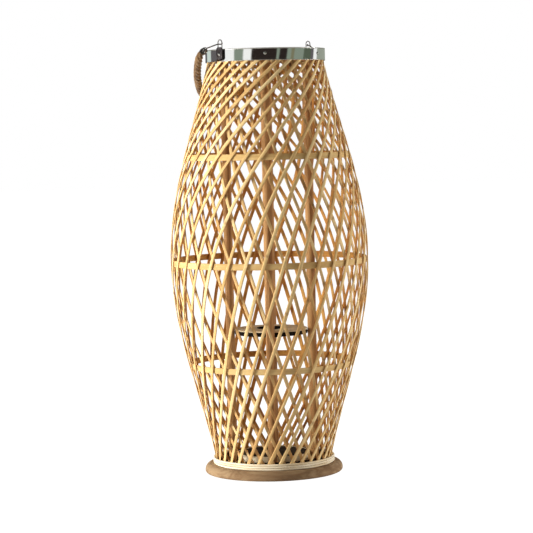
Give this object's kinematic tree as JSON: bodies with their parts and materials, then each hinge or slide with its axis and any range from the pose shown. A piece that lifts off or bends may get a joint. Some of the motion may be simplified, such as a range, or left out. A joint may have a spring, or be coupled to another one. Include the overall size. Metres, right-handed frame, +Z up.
{
  "type": "bamboo floor lantern",
  "caption": "Tall barrel-shaped floor lantern of woven bamboo laths on a round wooden base, with a polished rim band, a rope bail handle and an inner candle shelf.",
  "frame": {"origin": "centre of the base board's underside", "axes": "+Z up along the lantern's axis, -Y towards the front, +X to the right seen from the front"},
  "size_m": [0.2988, 0.298, 0.655],
  "materials": {
    "bamboo_outer": "split bamboo laths, satin skin side out",
    "bamboo_inner": "split bamboo laths and hoops, matt pith side",
    "post_wood": "turned softwood dowels, unvarnished",
    "base_wood": "turned board, matt",
    "reed": "peeled reed, smooth",
    "polished_steel": "mirror polished stainless sheet",
    "dark_steel": "drawn steel wire, darkened",
    "screw_steel": "zinc-plated screws",
    "rope": "laid jute rope",
    "black": "matt black",
    "pale_board": "pale matt board"
  },
  "bodies": {
    "lantern": {"base_board": "base_wood", "base_clamp_ring": "black", "base_reed_lower": "reed", "base_reed_middle": "reed", "base_reed_upper": "reed", "base_screw_back": "screw_steel", "base_screw_front": "screw_steel", "base_screw_left": "screw_steel", "base_screw_right": "screw_steel", "ear_eye_left": "dark_steel", "ear_eye_right": "dark_steel", "ear_plate_left": "polished_steel", "ear_plate_right": "polished_steel", "ear_rivet_left": "polished_steel", "ear_rivet_right": "polished_steel", "floor_plate_body": "pale_board", "floor_plate_top": "black", "hoop_lower": "bamboo_inner", "hoop_middle": "bamboo_inner", "hoop_upper": "bamboo_inner", "post_back": "post_wood", "post_front": "post_wood", "post_left": "post_wood", "post_right": "post_wood", "rim_band": "polished_steel", "rivet_back": "polished_steel", "rivet_back_left": "polished_steel", "rivet_front": "polished_steel", "rivet_front_right": "polished_steel", "shelf_body": "black", "shelf_screw_back": "screw_steel", "shelf_screw_front": "screw_steel", "shelf_screw_left": "screw_steel", "shelf_screw_right": "screw_steel", "shelf_top": "pale_board", "top_ring": "post_wood", "top_screw_back": "screw_steel", "top_screw_front": "screw_steel", "top_screw_left": "screw_steel", "top_screw_right": "screw_steel", "weave_inner": "bamboo_inner", "weave_outer": "bamboo_outer"},
    "handle": {"handle_core": "dark_steel", "handle_rope": "rope", "ferrule_left": "dark_steel", "ferrule_right": "dark_steel"},
    "candle_cup": {"tealight_cup": "black"}
  },
  "joints": [
    {"name": "handle_swing", "type": "hinge", "parent": "lantern", "child": "handle", "pos_m": [0, 0, 0.6478], "axis": [0.7254, 0.6884, 0], "range_deg": [0, 248]},
    {"name": "cup_lift", "type": "slide", "parent": "lantern", "child": "candle_cup", "axis": [0, 0, 1], "range_m": [0, 0.46]}
  ]
}
